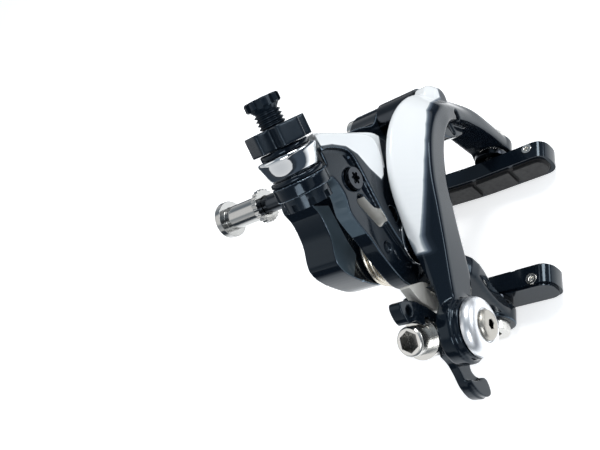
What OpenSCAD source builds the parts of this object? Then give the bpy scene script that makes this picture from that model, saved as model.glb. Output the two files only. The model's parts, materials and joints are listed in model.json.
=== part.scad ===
// Symmetrical dual-pivot side-pull caliper brake for a road bicycle wheel.
// Origin: on the centre bolt's axis, where the bracket seats on the bicycle's frame.
// +X points to the viewer's right, +Y to the back, +Z up.
// The arms are drawn sprung open, as they sit with no cable fitted.

/* [Pivots] */
// Half the distance between the two pivots
pivot_half_gap = 23.5; // [21:0.5:26]
// Drop of both pivots below the centre bolt
pivot_drop = 10.5; // [8:0.5:12]
// Diameter of the pivot shafts
pivot_d = 6; // [5:0.5:7]
// Radial clearance of every running fit
run_gap = 0.05; // [0.02:0.01:0.1]

/* [Layers] */
// Thickness of the mounting bracket
bracket_t = 10.5; // [8:0.5:12]
// Front face of the mounting bracket, measured from the frame's seat face
bracket_y = -13.5; // [-15:0.5:-12]
// Back face of the adjuster arm
arm_back_y = -20; // [-22:0.25:-19]
// Thickness of the adjuster arm's web
web_t = 5; // [4:0.5:8]
// Height of the adjuster arm's rim over its web
rim_h = 1.5; // [0.5:0.25:2]
// Clearance between the two arms
layer_gap = 0.7; // [0.3:0.1:1.5]
// Depth of the front arm at the centre, front to back
front_arm_t = 9.8; // [8:0.2:12]

/* [Mounting] */
// Diameter of the centre bolt
bolt_d = 6; // [5:0.5:8]
// Length of the centre bolt behind the bracket
bolt_len = 42; // [30:1:60]
// Outer diameter of the serrated washer
washer_d = 11.5; // [10:0.5:14]
// Thickness of the serrated washer
washer_t = 2; // [1:0.2:3]
// Distance from the bracket to the serrated washer
washer_gap = 29; // [12:1:34]
// Outer diameter of the sleeve nut
sleeve_d = 8; // [7.6:0.1:8.4]
// Length of the sleeve nut's tube
sleeve_len = 14; // [10:1:22]
// Diameter of the sleeve nut's flange
sleeve_flange_d = 12.5; // [10:0.5:14]

/* [Pads] */
// Drop of the pad bolts below the centre bolt
pad_drop = 50; // [46:0.5:56]
// Place of the pad bolts along Y
pad_bolt_y = -27.5; // [-30:0.5:-25]
// Distance of an arm's outer face from the middle plane, at its pad bolt
leg_out = 33.5; // [32:0.5:36]
// Thickness of an arm's leg
leg_t = 5; // [4:0.5:6]
// Radius of a leg's round end
leg_end_r = 6.6; // [6:0.2:8]
// Length of a pad
pad_len = 54; // [45:1:60]
// Height of a pad holder
holder_h = 11; // [9:0.5:13]
// Depth of a pad holder
holder_t = 6.5; // [5:0.5:8]
// Part of a pad that lies ahead of its bolt
pad_front = 20.5; // [16:0.5:27]
// Thickness of the rubber insert
insert_t = 3.4; // [3:0.2:6]
// Diameter of the pad bolts
pad_bolt_d = 5; // [4:0.5:6]

/* [Adjuster] */
// Lean of the cable adjuster towards the middle
adj_lean = 41; // [30:1:48]
// Diameter of the adjuster's threaded barrel
barrel_d = 8; // [7:0.25:9]
// Diameter of the barrel's flange
barrel_flange_d = 10.8; // [10:0.2:13]
// Width of the four-lobed nut over its lobes
nut_w = 18.4; // [16:0.2:20]
// Height of the four-lobed nut
nut_h = 7; // [6:0.5:10]
// Upper diameter of the chrome cup
cup_d = 15.8; // [14:0.2:18]
// Diameter of the cable casing's socket
casing_d = 5.2; // [4.6:0.1:5.6]

/* [Quick release] */
// Diameter of the chrome disc
disc_d = 15.8; // [15:0.2:18]
// Reach of the lever from its axis to its tip
lever_reach = 21; // [17:0.5:26]
// Diameter of the pinch bolt's head
pinch_head_d = 8; // [7:0.25:9]

/* [Spring] */
// Wire diameter of the return spring
wire_d = 1.4; // [1:0.1:1.5]
// Number of coils
coils = 3; // [2:1:3]
// Mean radius of the coils
coil_r = 9.6; // [8:0.1:10]

/* [Hidden] */
$fn = 48;

gloss_black = "#15181c";
dark_grey = "#3a4048";
chrome_tone = "#d8dcdf";
bare_metal = "#b9bab5";
spring_tone = "#a79c86";

left_pivot = [-pivot_half_gap, -pivot_drop];
right_pivot = [pivot_half_gap, -pivot_drop];
boss_r = pivot_d / 2 + 3;
web_y = arm_back_y - web_t;
rim_y = web_y - rim_h;
front_back_y = rim_y - layer_gap;
ridge_y = front_back_y - front_arm_t;
bracket_back_y = bracket_y + bracket_t;
seat_gap = 0.1;

// A flat outline, drawn with X across and Z up, given thickness from y0 to y1
module slab(y0, y1) {
  translate([0, y1, 0]) rotate([90, 0, 0]) linear_extrude(y1 - y0) children();
}

// A round bar along Y at a point [x, z]
module bar(p, d, y0, y1) {
  translate([p[0], y1, p[1]]) rotate([90, 0, 0]) cylinder(d = d, h = y1 - y0);
}

// A round bar along X, from x0 to x1, at a point [y, z]
module cross_bar(p, d, x0, x1) {
  translate([x0, p[0], p[1]]) rotate([0, 90, 0]) cylinder(d = d, h = x1 - x0);
}

// A round bar with a hexagon socket, head at the top
module hex_hole(af, h) {
  cylinder(d = af / cos(30), h = h, $fn = 6);
}

// One value of a smooth curve through a, b, c and d, between b and c
function blend4(a, b, c, d, t) =
  0.5 * (2 * b + (c - a) * t + (2 * a - 5 * b + 4 * c - d) * t * t
    + (3 * b - 3 * c + d - a) * t * t * t);

// A smooth open curve through the rows p, with n steps between two rows
function curve(p, n) = [
  for (i = [0 : len(p) - 2]) for (k = [0 : n - 1])
    blend4(p[max(i - 1, 0)], p[i], p[i + 1], p[min(i + 2, len(p) - 1)], k / n),
  p[len(p) - 1]];

// A smooth closed curve through the points p
function loop_curve(p, n) = let(m = len(p)) [
  for (i = [0 : m - 1]) for (k = [0 : n - 1])
    blend4(p[(i + m - 1) % m], p[i], p[(i + 1) % m], p[(i + 2) % m], k / n)];

// A polygon with its corners rounded by k steps of radius r
function rounded(p, r, k) = let(m = len(p)) [
  for (i = [0 : m - 1])
    let(a = p[(i + m - 1) % m] - p[i], b = p[(i + 1) % m] - p[i],
      ra = min(r, 0.45 * norm(a)), rb = min(r, 0.45 * norm(b)))
    for (j = [0 : k]) let(s = j / k)
      p[i] + (1 - s) * (1 - s) * ra * a / norm(a) + s * s * rb * b / norm(b)];

// The section of an arm at one row [x, z, up, up_y, down, down_y, ridge_y, back_y]:
// five corners, [offset across the arm, y]
function arm_section(r) = rounded([
  [0.7 - r[4], r[7]], [-r[4], r[5]], [0, r[6]], [r[2], r[3]], [r[2] - 0.7, r[7]]], 1.1, 3);

// An arm's body, swept along its ridge line through the rows
module swept_arm(rows, n) {
  path = curve(rows, n);
  last = len(path) - 1;
  m = len(arm_section(path[0]));
  points = [for (i = [0 : last])
    let(a = path[max(i - 1, 0)], b = path[min(i + 1, last)],
      d = [b[0] - a[0], b[1] - a[1]] / norm([b[0] - a[0], b[1] - a[1]]), r = path[i])
    for (q = arm_section(r)) [r[0] - d[1] * q[0], q[1], r[1] + d[0] * q[0]]];
  faces = concat(
    [[for (j = [m - 1 : -1 : 0]) j]],
    [[for (j = [0 : m - 1]) last * m + j]],
    [for (i = [0 : last - 1]) for (j = [0 : m - 1])
      [i * m + j, i * m + (j + 1) % m, (i + 1) * m + j]],
    [for (i = [0 : last - 1]) for (j = [0 : m - 1])
      [i * m + (j + 1) % m, (i + 1) * m + (j + 1) % m, (i + 1) * m + j]]);
  polyhedron(points, faces);
}

// Mounting bracket: one forging that carries the centre bolt and both pivots
bracket_left = [[0, -9], [-8, -11], [-14, -15], [-22, -19.5], [-29, -18.4], [-33.4, -12],
  [-35.3, -5], [-36, 1.5], [-35, 5.6], [-32.6, 7.6], [-29.3, 9.2], [-26.5, 11.7],
  [-24, 15], [-22.6, 18.8], [-19, 20], [-13.6, 17], [-6, 12], [0, 9]];
bracket_right = [[7.5, 7.4], [13, 2.4], [18, -3.4], [24, -5], [28.6, -8], [29, -13],
  [25, -16], [18, -15.4], [9, -10.6]];
bolt_boss_d = 15;
bolt_boss_h = 3;
bolt_head_d = 10;
bolt_head_h = 3.4;
module mounting_bracket() {
  color(gloss_black) difference() {
    union() {
      slab(bracket_y, bracket_back_y) polygon(loop_curve(
        concat(bracket_left, bracket_right), 4));
      bar([0, 0], bolt_boss_d, bracket_back_y - 1, bracket_back_y + bolt_boss_h);
    }
    bar([0, 0], bolt_d + 2 * seat_gap, bracket_y - 1, bracket_back_y + bolt_boss_h + 1);
    for (p = [left_pivot, right_pivot])
      bar(p, pivot_d + 2 * seat_gap, bracket_y - 1, bracket_back_y + 1);
    bar(centring_at, centring_d + 0.1, bracket_y - 1, bracket_y + 4);
  }
}

// Centre bolt: hexagon socket head in front, plain shank to the back
module centre_bolt() {
  color(gloss_black) difference() {
    union() {
      bar([0, 0], bolt_head_d, bracket_y - bolt_head_h, bracket_y);
      bar([0, 0], bolt_d, bracket_y - 1, bracket_back_y + bolt_len);
    }
    translate([0, bracket_y - bolt_head_h + 2.4, 0]) rotate([90, 0, 0]) hex_hole(5, 4);
  }
}

// Loose washer with a serrated rim
serrations = 24;
serration_depth = 0.5;
washer_y = bracket_back_y + washer_gap;
module serrated_washer() {
  color(bare_metal) difference() {
    slab(washer_y, washer_y + washer_t) polygon([for (i = [0 : 2 * serrations - 1])
      let(a = i * 180 / serrations, r = washer_d / 2 - serration_depth * (i % 2))
      [r * cos(a), r * sin(a)]]);
    bar([0, 0], bolt_d + 0.4, washer_y - 1, washer_y + washer_t + 1);
  }
}

// Sleeve nut: a plain tube with a round flange and a hexagon socket at its back
sleeve_y = washer_y + washer_t + 0.6;
sleeve_flange_t = 2.4;
module sleeve_nut() {
  end_y = sleeve_y + sleeve_len;
  color(bare_metal) difference() {
    union() {
      bar([0, 0], sleeve_d, sleeve_y, end_y + 0.5);
      bar([0, 0], sleeve_flange_d, end_y, end_y + sleeve_flange_t);
    }
    bar([0, 0], bolt_d + 2 * seat_gap, sleeve_y - 1, bracket_back_y + bolt_len + 1);
    translate([0, end_y + sleeve_flange_t + 1, 0]) rotate([90, 0, 0])
      hex_hole(5, sleeve_flange_t + 2);
  }
}

// Rows of an arm's leg, from a start height down to the pad bolt
leg_mid = leg_out - leg_t / 2;
leg_bar = leg_t / 2 - 0.15;
leg_front_y = pad_bolt_y - leg_end_r;
leg_back_y = pad_bolt_y + leg_end_r;
function leg_rows(w) = [
  [leg_mid - 4.6, -pad_drop + 24, w, leg_front_y - 0.6, w, leg_front_y - 0.6,
    leg_front_y - 0.8, leg_back_y - 2.6],
  [leg_mid - 1.8, -pad_drop + 12, leg_t / 2, leg_front_y - 0.2, leg_t / 2, leg_front_y - 0.2,
    leg_front_y - 0.4, leg_back_y - 0.8],
  [leg_mid, -pad_drop, leg_bar, leg_front_y + 0.4, leg_bar, leg_front_y + 0.4,
    leg_front_y + 0.2, leg_back_y - 0.3]];

// The round end of a leg, with the hole for its pad bolt
module leg_end() {
  cross_bar([pad_bolt_y, -pad_drop], 2 * leg_end_r, leg_out - leg_t, leg_out);
}
module leg_hole() {
  cross_bar([pad_bolt_y, -pad_drop], 2 * dome_rim + 1.4, leg_out - leg_t - 4, leg_out - leg_t);
  cross_bar([pad_bolt_y, -pad_drop], pad_bolt_d + 0.6, leg_out - leg_t - 3, leg_out + 3);
}

// Front arm: from the quick release, over the centre bolt, down to the right pad
release = [-48, -20.8];
release_boss_r = 9.2;
release_back_y = ridge_y + 4;
disc_out = 1.8;
front_rows = [
  [-50, -18.5, 3.5, ridge_y + 3, 10, ridge_y + 0.5, ridge_y, release_back_y],
  [-42, -14.3, 2.8, ridge_y + 3.5, 11, ridge_y + 0.5, ridge_y, release_back_y],
  [-35, -11.5, 2.6, ridge_y + 4.5, 12, ridge_y + 0.5, ridge_y, front_back_y - 3.2],
  [-27, -8.8, 3.2, ridge_y + 6, 11, ridge_y + 0.7, ridge_y, front_back_y - 0.4],
  [-18, -5.8, 6.5, ridge_y + 7.5, 10, ridge_y + 1, ridge_y, front_back_y],
  [-9, -2.6, 8.6, ridge_y + 8, 9.2, ridge_y + 1, ridge_y, front_back_y],
  [1, -1.2, 8.6, ridge_y + 8, 8.6, ridge_y + 1, ridge_y, front_back_y],
  [10.5, -3, 7.6, ridge_y + 8, 7.4, ridge_y + 1, ridge_y + 0.3, front_back_y],
  [18, -8, 6.5, ridge_y + 7.8, 5.5, ridge_y + 1, ridge_y + 0.8, front_back_y],
  [23, -16, 4.6, ridge_y + 6, 4, ridge_y + 1.8, ridge_y + 1.6, front_back_y]];
slit = [[20.8, -15.5], [18.2, -20.5]];
slit_w = 1.9;
arm_bore_y = ridge_y + 4.5;
module front_arm() {
  color(gloss_black) difference() {
    union() {
      swept_arm(concat(front_rows, leg_rows(3)), 6);
      leg_end();
      slab(ridge_y, release_back_y) translate(release) circle(r = release_boss_r);
      bar(release, disc_d + 0.6, ridge_y - disc_out, ridge_y + 1);
      slab(ridge_y + 5.5, front_back_y) polygon(rounded(
        [[12, -8], [14.5, -18.5], [21, -26.5], [25, -25], [26, -12]], 3, 4));
      bar(right_pivot, 2 * boss_r - 1, arm_bore_y + 1.6, front_back_y);
      translate([right_pivot[0], arm_bore_y + 1.6, right_pivot[1]]) rotate([90, 0, 0])
        cylinder(r1 = boss_r - 0.5, r2 = boss_r - 2.6, h = 2.6);
      slab(plate_y - 4, plate_y - seat_gap) polygon(plate_pad);
    }
    leg_hole();
    bar(right_pivot, pivot_d + 2 * run_gap, arm_bore_y, front_back_y + 1);
    bar(release, hub_d + 2 * run_gap, ridge_y - disc_out - 1, release_back_y + 1);
    bar(release, 2 * lever_ring_r + 1.6, release_back_y, front_back_y + 1);
    bar(roller_at, roller_pin_d, front_back_y - roller_pin_in, front_back_y + 1);
    slab(ridge_y - 1, ridge_y + 6) for (p = slit) translate(p) circle(d = slit_w);
    slab(ridge_y - 1, ridge_y + 6) polygon(strip(slit[0], slit[1], slit_w));
  }
}

// The four corners of a straight strip of width w from a to b
function strip(a, b, w) = let(d = (b - a) / norm(b - a), n = [-d[1], d[0]] * w / 2)
  [a + n, b + n, b - n, a - n];

// Adjuster arm: from the cable adjuster, past the left pivot, down to the left pad
web_outline = [[-23, 31], [-21.4, 24], [-23.6, 18.6], [-27.6, 15.6], [-29.8, 10.7],
  [-31.2, 6.3], [-33.4, 1.8], [-35.6, -4.1], [-36.8, -9.6], [-35.4, -15.4], [-33, -21.1],
  [-28.5, -23], [-23, -20], [-15, -17.8], [-8, -16], [-2.5, -8], [0.8, -3],
  [2.4, 3], [1.8, 9], [-1, 14], [-6, 21.5], [-10.5, 28.5], [-15.5, 34.5]];
rib_outline = [[-20.5, 31], [-16.5, 29], [-13, 23.7], [-12, 19.2], [-15.2, 13.8],
  [-19.4, 8.2], [-24, 1.6], [-27, -4], [-29.6, -10.5], [-28, -11.6],
  [-24.6, -5.4], [-20.6, 0.6], [-16.4, 4.6], [-9.5, 5.2], [-4.2, 7.4],
  [-1.8, 10.6], [-2.6, 14.6], [-8, 23.5], [-14.5, 33]];
tongue_outline = [[-14, -17.6], [4.2, -17.6], [4.2, -8.8], [-14, -8.8]];
roller_at = [0, -pivot_drop - 2.7];
roller_d = 5.6;
roller_pin_d = 3;
roller_pin_in = 4;
web_slot = [[-21.9, 11.6], [-23.9, 4]];
web_slot_w = 3.6;
dimple_at = [-30, -0.5];
arm_screw_at = [-17.8, 16.2];
arm_screw_d = 6;
stop_screw_at = [-19.2, -1.6];
stop_screw_d = 4.4;
module adjuster_arm() {
  color(gloss_black) difference() {
    union() {
      slab(web_y, arm_back_y) polygon(loop_curve(web_outline, 4));
      slab(rim_y, web_y + 1) polygon(loop_curve(rib_outline, 4));
      slab(web_y, arm_back_y) polygon(rounded(tongue_outline, 3, 4));
      bar(left_pivot, 2 * boss_r, rim_y, arm_back_y);
      mirror([1, 0, 0]) swept_arm(concat([
        [pivot_half_gap + 1, -pivot_drop - 2, 4, web_y, 4, web_y, web_y - 0.3, arm_back_y],
        [pivot_half_gap + 2, -pivot_drop - 8, 4, web_y - 1, 4, web_y - 1, web_y - 1.3,
          arm_back_y - 0.6]], leg_rows(3.2)), 4);
      mirror([1, 0, 0]) leg_end();
      along_adjuster() translate([0, 0, eye_low]) cylinder(d = eye_d, h = eye_h);
    }
    mirror([1, 0, 0]) leg_hole();
    bar(left_pivot, pivot_d + 2 * run_gap, rim_y - 1, arm_back_y + 1);
    along_adjuster() translate([0, 0, eye_low - 1]) cylinder(d = barrel_d + 0.2, h = eye_h + 2);
    along_adjuster() translate([0, 0, eye_low + eye_h])
      cylinder(d = cup_d + 2 * eye_clear, h = 24);
    along_adjuster() translate([0, 0, eye_low - 9]) cylinder(d = seat_d + 2 * eye_clear, h = 9);
    slab(web_y - 1, arm_back_y + 1) roller_slot();
    slab(web_y - 1, arm_back_y + 1) for (p = web_slot) translate(p) circle(d = web_slot_w);
    slab(web_y - 1, arm_back_y + 1) polygon(strip(web_slot[0], web_slot[1], web_slot_w));
    bar(dimple_at, 3, web_y - 1, web_y + 0.8);
    bar(arm_screw_at, arm_screw_d + 0.4, web_y - 3, web_y + 1.5);
    bar(arm_screw_at, 3.2, web_y - 1, arm_back_y - 1);
    bar(stop_screw_at, stop_screw_d + 0.4, web_y - 3, web_y + 2.4);
    bar(stop_screw_at, 2.4, web_y - 1, arm_back_y - 1);
  }
}

// The slot in the tongue that the link roller runs in
roller_clear = 0.3;
roller_travel = 1;
module roller_slot() {
  w = roller_d + 2 * roller_clear;
  for (x = [-roller_travel, roller_travel])
    translate([roller_at[0] + x, roller_at[1]]) circle(d = w);
  translate([roller_at[0] - roller_travel, roller_at[1] - w / 2])
    square([2 * roller_travel, w]);
}

// Pivot shafts: heads behind the bracket, each running in its arm
shaft_head_d = 10;
shaft_head_h = 2.6;
module pivot_shaft(p, front_y) {
  color(bare_metal) difference() {
    union() {
      bar(p, pivot_d, front_y, bracket_back_y + 0.5);
      bar(p, shaft_head_d, bracket_back_y, bracket_back_y + shaft_head_h);
    }
    translate([p[0], bracket_back_y + shaft_head_h + 1, p[1]]) rotate([90, 0, 0])
      hex_hole(4, 3);
  }
}
module left_pivot_shaft() pivot_shaft(left_pivot, rim_y);
module right_pivot_shaft() pivot_shaft(right_pivot, arm_bore_y + 0.3);

// Thin polished ring round the left pivot, let into the adjuster arm's face
module left_pivot_ring() {
  color(chrome_tone) difference() {
    bar(left_pivot, 2 * boss_r + 2, rim_y - 0.4, rim_y - 0.05);
    bar(left_pivot, pivot_d + 2, rim_y - 2, rim_y + 1);
  }
}

// Spacer tube that carries the front arm ahead of the bracket
module right_pivot_spacer() {
  color(gloss_black) difference() {
    bar(right_pivot, 2 * boss_r, front_back_y + 0.3, bracket_y);
    bar(right_pivot, pivot_d + 2 * seat_gap, front_back_y - 1, bracket_y + 1);
  }
}

// Round wire swept along the points c
module wire(c, r, sides) {
  last = len(c) - 1;
  ring = [for (j = [0 : sides - 1]) [cos(j * 360 / sides), sin(j * 360 / sides)]];
  points = [for (i = [0 : last])
    let(d = c[min(i + 1, last)] - c[max(i - 1, 0)], t = d / norm(d),
      u = cross(t, [0, 1, 0]), un = u / norm(u), v = cross(t, un))
    for (q = ring) c[i] + r * (q[0] * un + q[1] * v)];
  polyhedron(points, concat(
    [[for (j = [0 : sides - 1]) j]],
    [[for (j = [sides - 1 : -1 : 0]) last * sides + j]],
    [for (i = [0 : last - 1]) for (j = [0 : sides - 1])
      [i * sides + j, (i + 1) * sides + j, i * sides + (j + 1) % sides]],
    [for (i = [0 : last - 1]) for (j = [0 : sides - 1])
      [(i + 1) * sides + j, (i + 1) * sides + (j + 1) % sides, i * sides + (j + 1) % sides]]));
}

// Return spring: coils round the left pivot, one tail to each neighbour
spring_start = 200;
spring_low_y = arm_back_y + 0.2 + wire_d / 2;
spring_high_y = bracket_y - 0.2 - wire_d / 2;
tail_len = 7;
module return_spring() {
  steps = 20 * coils;
  coil = [for (i = [0 : steps])
    let(a = spring_start + 360 * coils * i / steps,
      y = spring_low_y + (spring_high_y - spring_low_y) * i / steps)
    [left_pivot[0] + coil_r * cos(a), y, left_pivot[1] + coil_r * sin(a)]];
  first_dir = [sin(spring_start), 0, -cos(spring_start)];
  last_a = spring_start + 360 * coils;
  last_dir = [-sin(last_a), 0, cos(last_a)];
  path = concat([coil[0] + tail_len * first_dir], coil,
    [coil[steps] + tail_len * last_dir]);
  color(spring_tone) wire(path, wire_d / 2, 10);
}

// Bush that the coils sit on
module spring_bush() {
  color(dark_grey) difference() {
    bar(left_pivot, 2 * (coil_r - wire_d / 2) - 0.4, arm_back_y + 0.3, bracket_y - 0.1);
    bar(left_pivot, pivot_d + 2 * seat_gap, arm_back_y - 1, bracket_y + 1);
  }
}

// Link roller, and the pin that holds it behind the front arm
module link_roller() {
  color(dark_grey) difference() {
    bar(roller_at, roller_d, web_y - 0.4, arm_back_y - 0.3);
    bar(roller_at, roller_pin_d + 2 * run_gap, web_y - 2, arm_back_y + 1);
  }
}
module roller_pin() {
  color(bare_metal) bar(roller_at, roller_pin_d - 0.02, front_back_y - roller_pin_in + 0.1,
    arm_back_y - 0.1);
}

// Small set screw in the bracket, behind the adjuster arm
centring_at = [-16.5, 2.6];
centring_d = 4;
module centring_screw() {
  color(chrome_tone) difference() {
    bar(centring_at, centring_d, bracket_y - 5, bracket_y + 3.5);
    translate([centring_at[0], bracket_y - 3.4, centring_at[1]]) rotate([90, 0, 0])
      hex_hole(2, 3);
  }
}

// Flat-topped screw with a hexagon socket, sunk in the adjuster arm's face
module sunk_screw(p, head_d, head_y, head_h, shank_d, tone) {
  color(tone) difference() {
    union() {
      bar(p, head_d, head_y, head_y + head_h);
      bar(p, shank_d, head_y + 0.5, arm_back_y - 1.4);
    }
    translate([p[0], head_y + 1, p[1]]) rotate([90, 0, 0]) children();
  }
}
module stop_screw() {
  sunk_screw(stop_screw_at, stop_screw_d, web_y + 0.1, 2.2, 2.2, gloss_black)
    hex_hole(2.5, 3);
}

// Screw with a six-lobed socket
module arm_screw() {
  sunk_screw(arm_screw_at, arm_screw_d, web_y - 1.2, 2.6, 3, bare_metal) union() {
    cylinder(d = 2.4, h = 4);
    for (i = [0 : 5]) rotate(i * 60) translate([1.3, 0, 0]) cylinder(d = 0.9, h = 4);
  }
}

// Quick release: hub through the front arm, lever, disc, clamp and pinch bolt
hub_d = 7;
lever_ring_r = 7.2;
lever_t = 2.6;
lever_y = release_back_y + 0.3;
clamp_y = lever_y + lever_t;
clamp_t = 8;
lever_outline = [[-54.6, -16], [-56.4, -21.4], [-58.4, -24.6], [-60.8, -27.6], [-62.2, -31.4],
  [-61.9, -35], [-60.4, -37], [-58.4, -36.6], [-56.5, -34.6], [-56.6, -31.6], [-55.6, -29.2],
  [-52.6, -28.4], [-49.4, -28.4], [-46, -27.6], [-44, -22], [-46, -16], [-50, -14.5]];
paddle_outline = [[-59.6, -26.4], [-59, -28.8], [-58.2, -30.8], [-56.9, -32.4], [-56.9, -34.5],
  [-58.6, -36.2], [-60.2, -36.6], [-61.5, -34.9], [-61.8, -31.5], [-60.8, -28.4]];
paddle_rise = 1.6;
lever_scale = lever_reach / 21;
module lever_shape() {
  translate(release) scale(lever_scale) translate(-release) children();
}
module lever() {
  color(gloss_black) difference() {
    union() {
      slab(lever_y, lever_y + lever_t) lever_shape() polygon(loop_curve(lever_outline, 4));
      slab(lever_y - paddle_rise, lever_y + 1) lever_shape() polygon(
        loop_curve(paddle_outline, 3));
    }
    bar(release, hub_d - 0.4, lever_y - 3, lever_y + lever_t + 1);
    clamp_axis() translate([0, 0, pinch_washer_r - 0.3])
      cylinder(d = pinch_washer_d + 2, h = 20);
  }
}
module lever_hub() {
  color(bare_metal) difference() {
    union() {
      bar(release, hub_d, ridge_y - disc_out + 0.2, lever_y);
      bar(release, hub_d - 0.6, lever_y - 0.5, clamp_y + clamp_t + 1);
      bar(release, hub_d + 3, clamp_y + clamp_t, clamp_y + clamp_t + 1.6);
    }
    bar(release, 4, ridge_y - disc_out - 1, ridge_y + 7);
    clamp_axis() cylinder(d = pinch_shank_d + 0.1, h = 20);
  }
}
disc_t = 3.6;
disc_recess = 0.7;
disc_y = ridge_y - disc_out - 0.3;
module lever_disc() {
  r = disc_d / 2;
  color(chrome_tone) translate([release[0], disc_y, release[1]]) rotate([90, 0, 0])
    rotate_extrude() polygon(concat([[2.2, 0], [r - 0.4, 0], [r, 0.4]],
      [for (i = [0 : 5]) [4.7 + (r - 4.7) * cos(18 * i), 1 + (disc_t - 1.15) * sin(18 * i)]],
      [[4.4, disc_t - disc_recess], [2.2, disc_t - disc_recess]]));
}
module disc_bolt() {
  color(bare_metal) difference() {
    translate([release[0], disc_y - disc_t + disc_recess - 0.02, release[1]])
      rotate([90, 0, 0]) union() {
      rotate_extrude() polygon([[0, 0], [4.1, 0], [4.1, 0.9], [3.7, 1.5], [2.6, 1.8], [0, 1.8]]);
      translate([0, 0, -8]) cylinder(d = 4, h = 8.5);
    }
    translate([release[0], disc_y - disc_t + 0.6, release[1]]) rotate([90, 0, 0])
      hex_hole(2.5, 3);
  }
}

// Direction of the pinch bolt, outwards from the hub
pinch_lean = 28;
pinch_y = clamp_y + 3.2;
pinch_shank_d = 5;
pinch_head_h = 5.6;
pinch_washer_r = 6;
pinch_washer_d = 11;
pinch_washer_t = 1.6;
module clamp_axis() {
  translate([release[0], pinch_y, release[1]]) rotate([0, -pinch_lean, 0]) children();
}
clamp_core = [[-52, -24.4], [-53.4, -19.6], [-52.6, -14.6], [-48, -13.2], [-44.2, -16.6],
  [-43.4, -20], [-44.2, -23], [-47.6, -25.6]];
clamp_ear = [[-50.4, -18], [-49.4, -8.6], [-51.4, -4.8], [-49.9, -1.6], [-47.4, -0.4],
  [-44.9, -5], [-44.2, -9], [-43.9, -13], [-44.6, -18.5]];
clamp_ear_t = 3.6;
ear_hole_at = [-48.1, -4.3];
ear_hole_d = 2.6;
module clamp_block() {
  color(gloss_black) difference() {
    union() {
      slab(clamp_y, clamp_y + clamp_t) polygon(loop_curve(clamp_core, 4));
      slab(clamp_y, clamp_y + clamp_ear_t) polygon(loop_curve(clamp_ear, 4));
    }
    bar(release, hub_d - 0.4, clamp_y - 1, clamp_y + clamp_t + 1);
    clamp_axis() translate([0, 0, pinch_washer_r])
      cylinder(d = pinch_washer_d + 1.2, h = pinch_washer_t + 0.6);
    clamp_axis() translate([0, 0, pinch_washer_r]) cylinder(d = pinch_head_d + 1, h = 20);
    clamp_axis() cylinder(d = pinch_shank_d + 0.1, h = 20);
    bar(ear_hole_at, ear_hole_d, clamp_y - 1, clamp_y + clamp_t);
  }
}
module pinch_washer() {
  color(bare_metal) clamp_axis() translate([0, 0, pinch_washer_r + 0.05]) difference() {
    cylinder(d = pinch_washer_d, h = pinch_washer_t);
    translate([0, 0, -1]) cylinder(d = pinch_shank_d + 0.2, h = 4);
    for (i = [0 : 17]) rotate(i * 20) translate([pinch_washer_d / 2 - 0.1, 0, 0])
      cylinder(d = 0.8, h = 0.5);
  }
}
module pinch_bolt() {
  base = pinch_washer_r + pinch_washer_t + 0.1;
  color(bare_metal) clamp_axis() difference() {
    union() {
      translate([0, 0, base]) cylinder(d = pinch_head_d, h = pinch_head_h - 0.5);
      translate([0, 0, base + pinch_head_h - 0.5])
        cylinder(d1 = pinch_head_d, d2 = pinch_head_d - 1, h = 0.5);
      cylinder(d = pinch_shank_d - 0.1, h = base + 1);
    }
    translate([0, 0, base + 1.8]) hex_hole(5, pinch_head_h);
  }
}

// Bare forged lug behind the front arm that guides the inner cable
plate_outline = [[-41.4, -3.6], [-37.6, -9.4], [-35.6, -16.5], [-35.2, -23], [-38.6, -24.8],
  [-41.4, -21], [-43, -16.6], [-43.3, -9]];
plate_pad = [[-39, -10], [-36.2, -15.5], [-36, -22], [-38.6, -22.8]];
plate_y = front_back_y - 2.7;
module cable_plate() {
  color(bare_metal) difference() {
    slab(plate_y, front_back_y + 0.4) polygon(rounded(plate_outline, 1.2, 3));
    bar([-38.4, -14.5], 2, front_back_y - 4, front_back_y + 2);
  }
}

// Cable adjuster, set along its own leaning axis
casing_depth = 9;
adj_at = [-26.2, web_y + 4.8, 28.4];
eye_low = -0.6;
eye_h = 3.6;
eye_d = 14.5;
eye_clear = 0.35;
seat_d = 12.4;
rim_t = 1.3;
cup_h = 5.8;
base_ring_h = 1.6;
rim_z = eye_low + eye_h + 0.05;
cup_z = rim_z + rim_t;
base_ring_z = cup_z + cup_h;
nut_z = base_ring_z + base_ring_h + 0.2;
barrel_rise = 3.6;
flange_z = nut_z + nut_h + barrel_rise;
flange_h = 2.4;
barrel_low = -3;
module along_adjuster() {
  translate(adj_at) rotate([0, adj_lean, 0]) children();
}
module adjuster_rim() {
  color(dark_grey) along_adjuster() translate([0, 0, rim_z]) difference() {
    cylinder(d = cup_d - 1.6, h = rim_t);
    translate([0, 0, -1]) cylinder(d = barrel_d + 0.3, h = 4);
  }
}
module adjuster_cup() {
  r = cup_d / 2;
  bore = barrel_d / 2 + 0.15;
  color(chrome_tone) along_adjuster() translate([0, 0, cup_z]) rotate_extrude($fn = 64)
    polygon([[bore, 0], [r - 2, 0], [r - 1.4, 0.5], [r - 0.3, cup_h - 1.4],
      [r, cup_h - 0.6], [r - 0.4, cup_h], [bore, cup_h]]);
}
module adjuster_base_ring() {
  color(gloss_black) along_adjuster() translate([0, 0, base_ring_z]) difference() {
    cylinder(d = 13, h = base_ring_h);
    translate([0, 0, -1]) cylinder(d = barrel_d + 0.3, h = 4);
  }
}
nut_lobes = 4;
lobe_w = 8.4;
lobe_turn = -25;
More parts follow.
